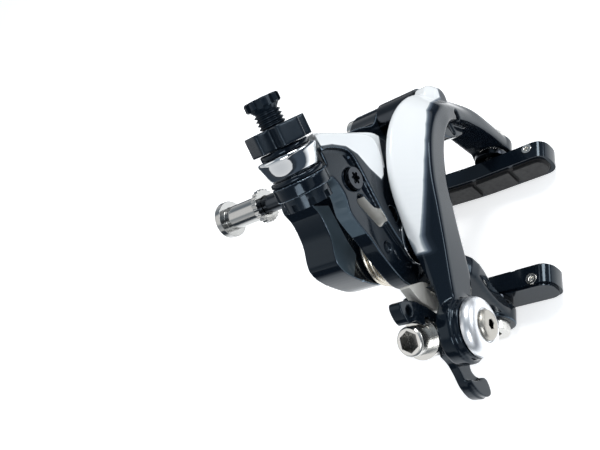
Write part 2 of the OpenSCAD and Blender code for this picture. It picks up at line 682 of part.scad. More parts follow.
module adjuster_nut() {
  color(gloss_black) along_adjuster() translate([0, 0, nut_z]) rotate(lobe_turn) difference() {
    union() {
      cylinder(d = nut_w - 6, h = nut_h);
      for (i = [0 : nut_lobes / 2 - 1]) rotate(i * 360 / nut_lobes) linear_extrude(nut_h)
        polygon(rounded([[-nut_w / 2, -lobe_w / 2], [nut_w / 2, -lobe_w / 2],
          [nut_w / 2, lobe_w / 2], [-nut_w / 2, lobe_w / 2]], 1.2, 3));
    }
    translate([0, 0, -1]) cylinder(d = barrel_d + 2 * run_gap, h = nut_h + 2);
  }
}
module adjuster_barrel() {
  flange_r = barrel_flange_d / 2;
  color(gloss_black) along_adjuster() difference() {
    union() {
      translate([0, 0, barrel_low]) cylinder(d = barrel_d, h = flange_z - barrel_low);
      translate([0, 0, flange_z - 1]) cylinder(d1 = barrel_d, d2 = barrel_flange_d, h = 1);
      translate([0, 0, flange_z]) cylinder(r = flange_r, h = flange_h - 0.4);
      translate([0, 0, flange_z + flange_h - 0.4])
        cylinder(r1 = flange_r, r2 = flange_r - 0.4, h = 0.4);
    }
    translate([0, 0, flange_z + flange_h - casing_depth]) cylinder(d = casing_d, h = casing_depth + 1);
    translate([0, 0, barrel_low - 1]) cylinder(d = 2, h = flange_z + flange_h);
    for (i = [0 : 3]) rotate(45 + i * 90) translate([flange_r, 0, flange_z + flange_h])
      cube([2.4, 2.2, 2.6], center = true);
  }
}
seat_teeth = 8;
module adjuster_seat() {
  color(gloss_black) along_adjuster() difference() {
    translate([0, 0, eye_low - 3.3]) cylinder(d = seat_d, h = 3.25);
    translate([0, 0, eye_low - 5]) cylinder(d = barrel_d + 0.3, h = 6);
    for (i = [0 : seat_teeth - 1]) rotate(i * 360 / seat_teeth)
      translate([6.4, 0, eye_low - 3]) cube([2.2, 1.8, 3.2], center = true);
  }
}

// Pads, drawn for the right side and mirrored for the left
module on_side(side) {
  if (side < 0) mirror([1, 0, 0]) children();
  else children();
}
washer_stack = 2.7;
holder_x = leg_out - leg_t - washer_stack;
shoe_low = -pad_drop - holder_h / 2 - 1.5;
shoe_front = pad_bolt_y - pad_front;
channel_wall = 1.2;
channel_depth = 2.2;

// A pad's outline seen from the side, inset by e, drawn [y, z]
function shoe_outline(e) = let(a = shoe_front + e, b = shoe_front + pad_len - e,
    lo = shoe_low + e, hi = shoe_low + holder_h - e, sag = 1.2)
  rounded([[a, lo], [a, hi], [(a + b) / 2, hi - sag], [b, hi], [b, lo],
    [(a + b) / 2, lo - sag]], holder_h * 0.42 - e * 0.5, 6);

// A slab across the pad, from x0 to x1
module across(x0, x1) {
  translate([x0, 0, 0]) rotate([90, 0, 90]) linear_extrude(x1 - x0) children();
}
pad_screw_at = shoe_front + 6;
pad_screw_x = holder_x - 2.4;
pad_screw_d = 3.4;
module pad_holder(side) {
  color(gloss_black) on_side(side) difference() {
    union() {
      across(holder_x - holder_t, holder_x - 0.8) polygon(shoe_outline(0));
      across(holder_x - 1, holder_x) polygon(shoe_outline(0.8));
    }
    across(holder_x - holder_t - 1, holder_x - holder_t + channel_depth)
      polygon(shoe_outline(channel_wall));
    cross_bar([pad_bolt_y, -pad_drop], pad_bolt_d + 0.1, holder_x - 3.5, holder_x + 3);
    translate([pad_screw_x, pad_screw_at, shoe_low + holder_h - 3.4])
      cylinder(d = pad_screw_d + 0.1, h = 6);
  }
}
module pad_insert(side) {
  inner_x = holder_x - holder_t + channel_depth - 0.05;
  color("#101214") on_side(side) difference() {
    union() {
      across(inner_x - channel_depth, inner_x) polygon(shoe_outline(channel_wall + 0.1));
      across(inner_x - insert_t, inner_x - channel_depth) polygon(shoe_outline(channel_wall + 0.6));
    }
    for (y = [-14, 0, 14]) translate([inner_x - insert_t, shoe_front + pad_len / 2 + y, -pad_drop])
      cube([2.4, 1.6, 30], center = true);
  }
}
module pad_screw(side) {
  color(bare_metal) on_side(side)
    translate([pad_screw_x, pad_screw_at, shoe_low + holder_h - 3.3]) difference() {
      cylinder(d = pad_screw_d, h = 3.2);
      translate([0, 0, 2]) hex_hole(1.5, 2);
    }
}
pad_head_d = 9.6;
pad_head_h = 3;
module pad_bolt(side) {
  color(bare_metal) on_side(side) difference() {
    union() {
      cross_bar([pad_bolt_y, -pad_drop], pad_bolt_d, holder_x - 3.4, leg_out + 0.5);
      cross_bar([pad_bolt_y, -pad_drop], pad_head_d, leg_out + 0.05, leg_out + pad_head_h);
    }
    translate([leg_out + 0.8, pad_bolt_y, -pad_drop]) rotate([0, 90, 0]) hex_hole(4, 4);
  }
}
cup_r = 9;
dome_h = 1.6;
dome_rim = 5;
dome_bore = pad_bolt_d / 2 + 0.2;
// Height of the spherical seat at radius r from the pad bolt's axis
function dome(r) = sqrt(cup_r * cup_r - r * r) - cup_r + dome_h;
module on_leg(side) {
  on_side(side) translate([leg_out - leg_t - 0.05, pad_bolt_y, -pad_drop])
    rotate([0, -90, 0]) children();
}
module convex_washer(side) {
  color(bare_metal) on_leg(side) rotate_extrude() polygon(concat(
    [[dome_bore, 0], [dome_rim, 0]],
    [for (i = [4 : -1 : 0]) let(r = dome_bore + (dome_rim - dome_bore) * i / 4) [r, dome(r)]]));
}
module concave_washer(side) {
  seat_rim = 3.6;
  lift = 0.08;
  color(dark_grey) on_leg(side) rotate_extrude() polygon(concat(
    [for (i = [0 : 4]) let(r = dome_bore + (seat_rim - dome_bore) * i / 4) [r, dome(r) + lift]],
    [[5.8, dome(seat_rim) + lift], [5.8, washer_stack - 0.1], [dome_bore, washer_stack - 0.1]]));
}
module left_pad_holder() pad_holder(-1);
module left_pad_insert() pad_insert(-1);
module left_pad_screw() pad_screw(-1);
module left_pad_bolt() pad_bolt(-1);
module left_concave_washer() concave_washer(-1);
module left_convex_washer() convex_washer(-1);
module right_pad_holder() pad_holder(1);
module right_pad_insert() pad_insert(1);
module right_pad_screw() pad_screw(1);
module right_pad_bolt() pad_bolt(1);
module right_concave_washer() concave_washer(1);
module right_convex_washer() convex_washer(1);

mounting_bracket();
centre_bolt();
serrated_washer();
sleeve_nut();
front_arm();
adjuster_arm();
left_pivot_shaft();
right_pivot_shaft();
left_pivot_ring();
right_pivot_spacer();
return_spring();
spring_bush();
link_roller();
roller_pin();
centring_screw();
stop_screw();
arm_screw();
lever();
lever_disc();
disc_bolt();
lever_hub();
clamp_block();
pinch_bolt();
pinch_washer();
cable_plate();
adjuster_barrel();
adjuster_nut();
adjuster_base_ring();
adjuster_cup();
adjuster_rim();
adjuster_seat();
left_pad_holder();
left_pad_insert();
left_pad_screw();
left_pad_bolt();
left_concave_washer();
left_convex_washer();
right_pad_holder();
right_pad_insert();
right_pad_screw();
right_pad_bolt();
right_concave_washer();
right_convex_washer();
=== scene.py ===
# Looks for a dual-pivot road brake caliper, in metres.
# The file follows the brake as it is put together: the arms first, then the bracket, the pivots
# and the spring, the quick release, the cable adjuster, the pads, and last the studio.

import json
import math

import bpy
import numpy as np
from mathutils import Matrix, Vector

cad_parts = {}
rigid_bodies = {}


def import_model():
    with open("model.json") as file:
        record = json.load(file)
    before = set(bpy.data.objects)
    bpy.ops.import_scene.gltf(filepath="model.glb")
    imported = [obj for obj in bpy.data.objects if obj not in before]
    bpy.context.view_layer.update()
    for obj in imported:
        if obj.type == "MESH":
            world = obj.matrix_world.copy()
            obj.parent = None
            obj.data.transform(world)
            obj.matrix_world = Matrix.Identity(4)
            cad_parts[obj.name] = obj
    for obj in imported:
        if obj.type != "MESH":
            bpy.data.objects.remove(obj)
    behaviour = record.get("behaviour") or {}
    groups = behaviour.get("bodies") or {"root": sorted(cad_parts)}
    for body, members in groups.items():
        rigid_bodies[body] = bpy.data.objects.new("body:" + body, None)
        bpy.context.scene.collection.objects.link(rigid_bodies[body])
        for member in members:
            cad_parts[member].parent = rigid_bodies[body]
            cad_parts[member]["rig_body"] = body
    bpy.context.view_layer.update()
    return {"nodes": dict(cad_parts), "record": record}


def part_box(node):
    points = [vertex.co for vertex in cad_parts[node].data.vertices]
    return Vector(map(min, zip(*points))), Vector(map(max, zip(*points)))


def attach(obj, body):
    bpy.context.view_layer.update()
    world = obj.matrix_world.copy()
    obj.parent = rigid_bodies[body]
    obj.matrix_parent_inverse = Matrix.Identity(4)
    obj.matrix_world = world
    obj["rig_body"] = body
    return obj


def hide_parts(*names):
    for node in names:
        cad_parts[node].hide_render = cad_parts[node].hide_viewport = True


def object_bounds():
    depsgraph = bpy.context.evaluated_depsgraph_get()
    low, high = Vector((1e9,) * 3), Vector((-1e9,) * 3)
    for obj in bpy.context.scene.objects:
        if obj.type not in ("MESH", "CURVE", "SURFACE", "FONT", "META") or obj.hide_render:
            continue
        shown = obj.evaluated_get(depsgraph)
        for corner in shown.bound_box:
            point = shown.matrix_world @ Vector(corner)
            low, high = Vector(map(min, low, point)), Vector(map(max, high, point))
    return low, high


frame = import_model()
MM = 0.001

# Front arm
# Forged aluminium, polished and anodised gloss black, with a painted highlight on its sharp
# edges along the arch. The sloping face above the ridge is lacquered white, and below it a
# painted reflection fades through silver to black.


def let_go():
    """Leaves nothing selected, in object mode."""
    if bpy.context.mode != "OBJECT":
        bpy.ops.object.mode_set(mode="OBJECT")
    bpy.ops.object.select_all(action="DESELECT")


def pick(piece):
    """Makes one piece the only selected and active one."""
    let_go()
    piece.select_set(True)
    bpy.context.view_layer.objects.active = piece


def stands_for(piece, node, finish):
    """The piece takes a solid's place in the brake, with this finish."""
    piece.name = node + "_finished"
    piece.data.materials.clear()
    piece.data.materials.append(finish)
    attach(piece, frame["nodes"][node]["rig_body"])
    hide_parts(node)
    return piece


WELD = 0.002 * MM


def blank(node):
    """A workpiece cut to a solid's own shape, its flat faces whole again."""
    let_go()
    source = frame["nodes"][node]
    piece = bpy.data.objects.new(node + "_blank", source.data.copy())
    bpy.context.scene.collection.objects.link(piece)
    pick(piece)
    bpy.ops.object.mode_set(mode="EDIT")
    bpy.ops.mesh.select_all(action="SELECT")
    bpy.ops.mesh.remove_doubles(threshold=WELD)
    bpy.ops.mesh.dissolve_limited(angle_limit=math.radians(0.5))
    bpy.ops.object.mode_set(mode="OBJECT")
    return piece


def apply_modifier(piece, kind, **settings):
    """One modifier, set and applied."""
    pick(piece)
    bpy.ops.object.modifier_add(type=kind)
    modifier = piece.modifiers[-1]
    for name, value in settings.items():
        setattr(modifier, name, value)
    bpy.ops.object.modifier_apply(modifier=modifier.name)


def shade(piece, degrees):
    """Smooth shading, kept sharp where faces meet at more than this angle."""
    pick(piece)
    bpy.ops.object.shade_smooth_by_angle(angle=math.radians(degrees))


def forged(node, grain, rounds, finish):
    """A forging's skin: the solid's shape in even quads, its corners eased by tumbling."""
    piece = blank(node)
    apply_modifier(piece, "REMESH", mode="VOXEL", voxel_size=grain)
    apply_modifier(piece, "SMOOTH", factor=0.5, iterations=rounds)
    shade(piece, 180)
    return stands_for(piece, node, finish)


NO_RISE = 1e-9


def mark_panel(piece, name, outline, facing=None, steepness=0.6):
    """Stores each point's distance, in mm, inside an outline [x, z] seen from the front.

    With facing "front" or "side", only the faces that look that way count as inside: the
    steepness is how far a normal leans forward, from 0 to 1, where one becomes the other."""
    mesh = piece.data
    count = len(mesh.vertices)
    place = np.zeros(count * 3)
    mesh.vertices.foreach_get("co", place)
    place = place.reshape(-1, 3)[:, (0, 2)] / MM
    nearest = np.full(count, np.inf)
    inside = np.zeros(count, bool)
    for a, b in zip(outline, outline[1:] + outline[:1]):
        a, b = np.array(a, float), np.array(b, float)
        along = b - a
        t = np.clip(((place - a) @ along) / (along @ along), 0, 1)
        nearest = np.minimum(nearest, np.linalg.norm(place - a - t[:, None] * along, axis=1))
        crosses = (a[1] > place[:, 1]) != (b[1] > place[:, 1])
        rise = along[1] if abs(along[1]) > NO_RISE else NO_RISE
        crossing = a[0] + along[0] * (place[:, 1] - a[1]) / rise
        inside ^= crosses & (place[:, 0] < crossing)
    depth = np.where(inside, nearest, -nearest)
    if facing:
        normal = np.zeros(count * 3)
        mesh.vertices.foreach_get("normal", normal)
        towards = normal.reshape(-1, 3)[:, 1]
        if facing == "front":
            lean = -towards - steepness
        else:
            lean = steepness - np.abs(towards)
        depth = np.minimum(depth, lean)
    field = mesh.attributes.new(name, "FLOAT", "POINT")
    field.data.foreach_set("value", depth.astype(np.float32))


def shader_node(tree, kind, inputs=None, **settings):
    """One shader node, with its own settings and the values of its inputs."""
    node = tree.nodes.new("ShaderNode" + kind)
    for name, value in settings.items():
        setattr(node, name, value)
    for name, value in (inputs or {}).items():
        node.inputs[name].default_value = value
    return node


def worked_out(tree, operation, first, second):
    """What a Math node makes of two terms, each a socket or a number."""
    node = shader_node(tree, "Math", operation=operation)
    for term, place in zip((first, second), node.inputs):
        if isinstance(term, (int, float)):
            place.default_value = term
        else:
            tree.links.new(term, place)
    return node.outputs["Value"]


def shader_group(name, inputs, outputs):
    """An empty shader group with its named sockets: its tree, input node and output node."""
    group = bpy.data.node_groups.new(name, "ShaderNodeTree")
    for way, sockets in [("INPUT", inputs), ("OUTPUT", outputs)]:
        for socket_name, kind in sockets.items():
            group.interface.new_socket(
                socket_name, in_out=way, socket_type="NodeSocket" + kind)
    return group, group.nodes.new("NodeGroupInput"), group.nodes.new("NodeGroupOutput")


def handling_marks():
    """Shader group: the faint haze and hairlines that a polished part gets in a workshop."""
    group, given, result = shader_group(
        "handling marks", {"Fineness": "Float", "Clean": "Float", "Worn": "Float"},
        {"Roughness": "Float", "Height": "Float"})
    place = shader_node(group, "TexCoord")
    haze = shader_node(group, "TexNoise", {"Detail": 6, "Roughness": 0.65})
    spread = shader_node(group, "MapRange", {"From Min": 0.4, "From Max": 0.75})
    streak = shader_node(group, "Mapping", {"Scale": (1.0, 0.06, 0.35),
                                            "Rotation": (0.3, 0.5, 0.7)})
    hair = shader_node(group, "TexNoise", {"Detail": 3})
    cut = shader_node(group, "MapRange", {"From Min": 0.62, "From Max": 0.72})
    finer = worked_out(group, "MULTIPLY", given.outputs["Fineness"], 4)
    link = group.links.new
    link(place.outputs["Object"], haze.inputs["Vector"])
    link(given.outputs["Fineness"], haze.inputs["Scale"])
    link(haze.outputs["Fac"], spread.inputs["Value"])
    link(given.outputs["Clean"], spread.inputs["To Min"])
    link(given.outputs["Worn"], spread.inputs["To Max"])
    link(spread.outputs["Result"], result.inputs["Roughness"])
    link(place.outputs["Object"], streak.inputs["Vector"])
    link(streak.outputs["Vector"], hair.inputs["Vector"])
    link(finer, hair.inputs["Scale"])
    link(hair.outputs["Fac"], cut.inputs["Value"])
    link(cut.outputs["Result"], result.inputs["Height"])
    return group


MARKS = handling_marks()


def marked_finish(name, colour, metallic, fineness, clean, worn, scratch):
    """A new material: its colour, and the roughness and bump of the handling marks."""
    finish = bpy.data.materials.new(name)
    finish.use_nodes = True
    tree = finish.node_tree
    shader = tree.nodes["Principled BSDF"]
    shader.inputs["Base Color"].default_value = (*colour, 1)
    shader.inputs["Metallic"].default_value = metallic
    marks = shader_node(tree, "Group", node_tree=MARKS)
    marks.inputs["Fineness"].default_value = fineness
    marks.inputs["Clean"].default_value = clean
    marks.inputs["Worn"].default_value = worn
    bump = shader_node(tree, "Bump", {"Strength": scratch, "Distance": 0.02 * MM})
    tree.links.new(marks.outputs["Roughness"], shader.inputs["Roughness"])
    tree.links.new(marks.outputs["Height"], bump.inputs["Height"])
    tree.links.new(bump.outputs["Normal"], shader.inputs["Normal"])
    return finish


BLACK = (0.0036, 0.0062, 0.0105)


def black_anodising(name):
    """Deep black anodising over polished metal: a dark body under a thin clear skin."""
    finish = marked_finish(name, BLACK, 0, 260, 0.09, 0.18, 0.04)
    shader = finish.node_tree.nodes["Principled BSDF"]
    shader.inputs["IOR"].default_value = 1.37
    shader.inputs["Specular Tint"].default_value = (0.62, 0.82, 1.0, 1)
    shader.inputs["Coat Weight"].default_value = 0.12
    shader.inputs["Coat Roughness"].default_value = 0.03
    return finish


HIGHLIGHT_FADE = 3 * MM


def painted_edge_highlight():
    """Shader group: a painted highlight's strength on sharp edges, between two places along x.
    """
    group, given, result = shader_group(
        "painted edge highlight", {"Low": "Float", "High": "Float"}, {"Highlight": "Float"})
    shape = shader_node(group, "NewGeometry")
    edge = shader_node(group, "MapRange", {"From Min": 0.525, "From Max": 0.56, "To Max": 0.7})
    place = shader_node(group, "TexCoord")
    across = shader_node(group, "SeparateXYZ")
    group.links.new(shape.outputs["Pointiness"], edge.inputs["Value"])
    group.links.new(place.outputs["Object"], across.inputs["Vector"])
    # Pointiness finds the sharp edges that get the painted highlight.
    highlight = edge.outputs["Result"]
    for limit, inwards in [("Low", HIGHLIGHT_FADE), ("High", -HIGHLIGHT_FADE)]:
        fade = shader_node(group, "MapRange")
        full = worked_out(group, "ADD", given.outputs[limit], inwards)
        group.links.new(across.outputs["X"], fade.inputs["Value"])
        group.links.new(given.outputs[limit], fade.inputs["From Min"])
        group.links.new(full, fade.inputs["From Max"])
        highlight = worked_out(group, "MULTIPLY", highlight, fade.outputs["Result"])
    group.links.new(highlight, result.inputs["Highlight"])
    return group


EDGE_HIGHLIGHT = painted_edge_highlight()
# Light blue-grey metal, the colour of the painted edge highlight.
EDGE_HIGHLIGHT_TINT = (0.30, 0.40, 0.50)


def anodising_with_edge_highlight(name, low, high):
    """Black anodising with a painted highlight on sharp edges, from low to high along x, in mm.
    """
    finish = black_anodising(name)
    tree = finish.node_tree
    shader = tree.nodes["Principled BSDF"]
    highlight = shader_node(tree, "Group", node_tree=EDGE_HIGHLIGHT)
    highlight.inputs["Low"].default_value = low * MM
    highlight.inputs["High"].default_value = high * MM
    # The painted highlight turns the edges light blue-grey and metallic.
    colour = shader_node(tree, "Mix", data_type="RGBA")
    colour.inputs["A"].default_value = (*BLACK, 1)
    colour.inputs["B"].default_value = (*EDGE_HIGHLIGHT_TINT, 1)
    tree.links.new(highlight.outputs["Highlight"], colour.inputs["Factor"])
    tree.links.new(colour.outputs["Result"], shader.inputs["Base Color"])
    tree.links.new(highlight.outputs["Highlight"], shader.inputs["Metallic"])
    return finish


PANEL_RIM = 0.1


def panel_cover():
    """Shader group: a panel's colour over another, from its rim, in mm, inwards."""
    group, given, result = shader_group(
        "panel cover", {"Under": "Color", "Panel": "Color", "Distance": "Float", "Rim": "Float"},
        {"Colour": "Color"})
    cover = shader_node(group, "MapRange")
    mix = shader_node(group, "Mix", data_type="RGBA")
    full = worked_out(group, "ADD", given.outputs["Rim"], PANEL_RIM)
    group.links.new(given.outputs["Distance"], cover.inputs["Value"])
    group.links.new(given.outputs["Rim"], cover.inputs["From Min"])
    group.links.new(full, cover.inputs["From Max"])
    group.links.new(cover.outputs["Result"], mix.inputs["Factor"])
    group.links.new(given.outputs["Under"], mix.inputs["A"])
    group.links.new(given.outputs["Panel"], mix.inputs["B"])
    group.links.new(mix.outputs["Result"], result.inputs["Colour"])
    return group


COVER = panel_cover()


def lay_panel(finish, field, stops):
    """Lays a panel over a finish: colours by distance, in mm, from the stored outline."""
    tree = finish.node_tree
    base = tree.nodes["Principled BSDF"].inputs["Base Color"]
    low, high = stops[0][0], stops[-1][0]
    stored = shader_node(tree, "Attribute", attribute_name=field)
    scale = shader_node(tree, "MapRange", {"From Min": low, "From Max": high})
    tint = shader_node(tree, "ValToRGB")
    ramp = tint.color_ramp
    ramp.elements[0].color = (*stops[0][1], 1)
    ramp.elements[1].color = (*stops[-1][1], 1)
    for at, colour in stops[1:-1]:
        ramp.elements.new((at - low) / (high - low)).color = (*colour, 1)
    cover = shader_node(tree, "Group", node_tree=COVER)
    cover.inputs["Rim"].default_value = low
    tree.links.new(base.links[0].from_socket, cover.inputs["Under"])
    tree.links.new(stored.outputs["Fac"], scale.inputs["Value"])
    tree.links.new(stored.outputs["Fac"], cover.inputs["Distance"])
    tree.links.new(scale.outputs["Result"], tint.inputs["Fac"])
    tree.links.new(tint.outputs["Color"], cover.inputs["Panel"])
    tree.links.new(cover.outputs["Colour"], base)


WHITE_LACQUER = (0.80, 0.82, 0.83)
ARM_GRAIN = 0.3 * MM
# The front arm's painted edge highlight runs from x = -22 to 17 mm.
ARCH = (-22, 17)
front_arm_finish = anodising_with_edge_highlight("front arm, black and white", *ARCH)
# White lacquer inside the outline; outside it a painted reflection fades from silver to black.
lay_panel(front_arm_finish, "white_panel_and_painted_sheen", [
    (-1.6, BLACK), (-0.9, (0.012, 0.017, 0.024)), (-0.4, (0.08, 0.10, 0.13)),
    (-0.08, (0.30, 0.34, 0.37)), (0.08, WHITE_LACQUER)])
front_arm = forged("front_arm", ARM_GRAIN, 12, front_arm_finish)
mark_panel(front_arm, "white_panel_and_painted_sheen", [
    [-30, -7.2], [-26.3, -5.2], [-22.3, -3.9], [-17.2, -2.5], [-11.8, -1.1], [-6, -0.2],
    [0.4, 0.2], [6.4, -0.3], [12.9, -1.7], [18, -4.5], [23.5, -9.5], [30, -6], [22, 12],
    [0, 18], [-20, 10], [-32, -4]])

# Adjuster arm
# The second forging, anodised like the first, with a painted edge highlight all over. Its
# raised rib is lacquered white above, with a narrow painted reflection fading to black below
# it; its flank is satin blue-grey. The slot through its web is bare machined metal, pale on its
# lower side wall, while its upper wall is left black as painted shade.
ALL_OVER = (-70, 60)
BLUE_GREY = (0.075, 0.105, 0.13)
adjuster_arm_finish = anodising_with_edge_highlight("adjuster arm, black and white", *ALL_OVER)
lay_panel(adjuster_arm_finish, "flank", [(-0.1, BLACK), (0.1, BLUE_GREY)])
# A narrow grey fade below the white rib is a painted reflection.
lay_panel(adjuster_arm_finish, "white_rib_and_painted_sheen", [
    (-0.5, BLACK), (-0.06, (0.10, 0.12, 0.14)), (0.06, WHITE_LACQUER)])
lay_panel(adjuster_arm_finish, "slot_wall_and_painted_shade", [(0.0, BLACK), (0.15, (0.50, 0.49, 0.46))])
adjuster_arm = forged("adjuster_arm", ARM_GRAIN, 9, adjuster_arm_finish)
mark_panel(adjuster_arm, "white_rib_and_painted_sheen", [
    [-16.5, 30.5], [-13.6, 26.7], [-11, 21.5], [-10.6, 16.6], [-12, 11.5], [-12.6, 6.2],
    [-6.4, 3.6], [4, 8], [0, 24], [-12, 38]])
mark_panel(adjuster_arm, "flank", [
    [-20, 27], [-20.5, 23], [-26, 14.6], [-28.2, 9.4], [-33, 8], [-33, 18], [-26, 27]], "side")
# Only the slot's lower side wall is pale bare metal; its upper wall stays black as painted
# shade.
mark_panel(adjuster_arm, "slot_wall_and_painted_shade", [
    [-19.9, 10.9], [-21.8, 3.5], [-22.8, 2.1], [-24.5, 1.9], [-25.8, 2.9], [-26, 4.5],
    [-24.3, 10.9]], "side")

# Mounting bracket
# The forging that the bicycle's frame carries: both arms turn on it. It is anodised gloss
# black with a painted edge highlight, and the face that looks forward is satin blue-grey,
# with a thin light grey rim round it that is a painted highlight.
bracket_finish = anodising_with_edge_highlight("bracket, black and blue-grey", *ALL_OVER)
# A thin light grey rim where the panel turns over its edges is a painted highlight.
lay_panel(bracket_finish, "front_panel_and_rim_highlight", [
    (-0.1, (0.30, 0.33, 0.35)), (0.0, BLUE_GREY), (0.1, BLUE_GREY)])
bracket = forged("mounting_bracket", 0.28 * MM, 6, bracket_finish)
mark_panel(bracket, "front_panel_and_rim_highlight", [
    [-24.5, 20], [-20, 12], [-26, 4], [-29, -1], [-37, -1], [-37, 8], [-30, 18]], "front")

# Screws, bolts and washers
# Turned steel, bare, polished or blackened, each with a small bevel round its edges. The
# sockets that a key turns are painted darker than the heads round them, as painted shade.


def machined(node, edge, finish, degrees=32, steps=2):
    """A machined piece: the solid's shape with a small bevel round each sharp edge."""
    piece = blank(node)
    apply_modifier(piece, "BEVEL", width=edge, segments=steps, limit_method="ANGLE",
                   angle_limit=math.radians(degrees), use_clamp_overlap=True)
    shade(piece, degrees)
    apply_modifier(piece, "WEIGHTED_NORMAL", keep_sharp=True)
    return stands_for(piece, node, finish)


SMALL_BEVEL = 0.18 * MM
bare_steel = marked_finish("bare turned steel", (0.74, 0.73, 0.70), 1, 260, 0.22, 0.30, 0.05)
sleeve_steel = marked_finish("polished sleeve steel", (0.50, 0.50, 0.49), 1, 300, 0.12, 0.2,
                             0.04)
bolt_steel = marked_finish("satin bolt steel", (0.46, 0.44, 0.40), 1, 260, 0.34, 0.42, 0.05)
# A darker, duller steel for the insides of key sockets: painted shade.
socket_shade_steel = marked_finish("socket steel, painted shade", (0.30, 0.295, 0.28), 1, 300, 0.25, 0.35, 0.05)
black_steel = marked_finish("blackened steel", (0.055, 0.062, 0.072), 1, 300, 0.18, 0.28, 0.05)
for node in ["left_pivot_shaft", "right_pivot_shaft", "roller_pin", "pinch_washer",
             "left_pad_screw", "right_pad_screw", "left_convex_washer", "right_convex_washer",
             "lever_hub"]:
    machined(node, SMALL_BEVEL, bare_steel)
for node in ["sleeve_nut", "serrated_washer"]:
    machined(node, SMALL_BEVEL, sleeve_steel)
for node in ["centre_bolt", "arm_screw", "stop_screw", "left_concave_washer",
             "right_concave_washer", "right_pivot_spacer", "spring_bush", "link_roller"]:
    machined(node, SMALL_BEVEL, black_steel)

HEAD_SKIN = 0.12 * MM
DEEPEST_SOCKET = 5 * MM


def with_socket(node, head, inside, foot, axis, reach):
    """A bolt with a darker finish inside its socket as painted shade; the socket lies within
    reach of its axis.
    """
    piece = machined(node, SMALL_BEVEL, head)
    piece.data.materials.append(inside)
    foot = Vector(foot)
    axis = Vector(axis).normalized()
    top = max((vertex.co - foot).dot(axis) for vertex in piece.data.vertices)
    for face in piece.data.polygons:
        out = face.center - foot
        along = out.dot(axis)
        inward = top - DEEPEST_SOCKET < along < top - HEAD_SKIN
        if inward and (out - axis * along).length < reach:
            face.material_index = 1


def middle_of(node):
    """The middle of a solid's box."""
    low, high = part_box(node)
    return [(a + b) / 2 for a, b in zip(low, high)]


disc_middle = middle_of("lever_disc")
disc_seat = (disc_middle[0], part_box("lever_disc")[1][1], disc_middle[2])
PINCH_LEAN = math.radians(28)
with_socket("pinch_bolt", bare_steel, socket_shade_steel,
            (disc_middle[0], middle_of("pinch_bolt")[1], disc_middle[2]),
            (-math.sin(PINCH_LEAN), 0, math.cos(PINCH_LEAN)), 2.95 * MM)
# The disc bolt's socket takes the blackened finish as painted shade.
with_socket("disc_bolt", bolt_steel, black_steel, disc_seat, (0, -1, 0), 1.5 * MM)
for node, outwards in [("left_pad_bolt", -1), ("right_pad_bolt", 1)]:
    with_socket(node, bare_steel, socket_shade_steel, (0, *middle_of(node)[1:]),
                (outwards, 0, 0), 2.4 * MM)

# Return spring
# Drawn steel wire with a warm tint, wound in three open turns round the left pivot's bush,
# with a straight tail at either end that pushes the arms apart.
WIRE_R = 0.7
COIL_R = 9.6
TURNS = 3
TAIL = 7
COIL_START = math.radians(200)
WIRE_SIDES = 20
STEPS_A_TURN = 48
spring_low, spring_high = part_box("return_spring")
pitch = (spring_high[1] - spring_low[1] - 2 * WIRE_R * MM) / TURNS
let_go()
bpy.ops.mesh.primitive_circle_add(vertices=WIRE_SIDES, radius=WIRE_R * MM,
                                  fill_type="NOTHING")
spring = bpy.context.active_object
bpy.ops.object.mode_set(mode="EDIT")
bpy.ops.mesh.select_all(action="SELECT")
bpy.ops.transform.translate(value=(COIL_R * MM, 0, 0))
bpy.ops.object.mode_set(mode="OBJECT")
apply_modifier(spring, "SCREW", axis="Y", angle=-2 * math.pi, screw_offset=pitch,
               iterations=TURNS, steps=STEPS_A_TURN, render_steps=STEPS_A_TURN)
for end, way in [(0, -1), (TURNS * pitch, 1)]:
    pick(spring)
    bpy.ops.object.mode_set(mode="EDIT")
    bpy.ops.mesh.select_all(action="DESELECT")
    bpy.ops.object.mode_set(mode="OBJECT")
    for vertex in spring.data.vertices:
        vertex.select = (vertex.co.x > 0 and abs(vertex.co.z) < 0.05 * MM
                         and abs(vertex.co.y - end) < 1.02 * WIRE_R * MM)
    bpy.ops.object.mode_set(mode="EDIT")
    bpy.ops.mesh.extrude_region_move(TRANSFORM_OT_translate={"value": (0, 0, way * TAIL * MM)})
    bpy.ops.mesh.edge_face_add()
    bpy.ops.object.mode_set(mode="OBJECT")
pick(spring)
bpy.ops.object.mode_set(mode="EDIT")
bpy.ops.mesh.select_all(action="SELECT")
bpy.ops.mesh.remove_doubles(threshold=WELD)
bpy.ops.mesh.normals_make_consistent(inside=False)
bpy.ops.object.mode_set(mode="OBJECT")
pivot = middle_of("left_pivot_shaft")
spring.matrix_world = (Matrix.Translation((pivot[0], spring_low[1] + WIRE_R * MM, pivot[2]))
                       @ Matrix.Rotation(-COIL_START, 4, "Y"))
pick(spring)
bpy.ops.object.transform_apply(location=True, rotation=True, scale=True)
shade(spring, 50)
spring_finish = marked_finish("drawn spring wire", (0.70, 0.65, 0.56), 1, 300, 0.24, 0.34, 0.05)
stands_for(spring, "return_spring", spring_finish)

# Disc of the quick release
# Turned aluminium with a domed rim, polished to a soft shine. Its bolt sits in the recess in
# the middle and holds it to the lever.


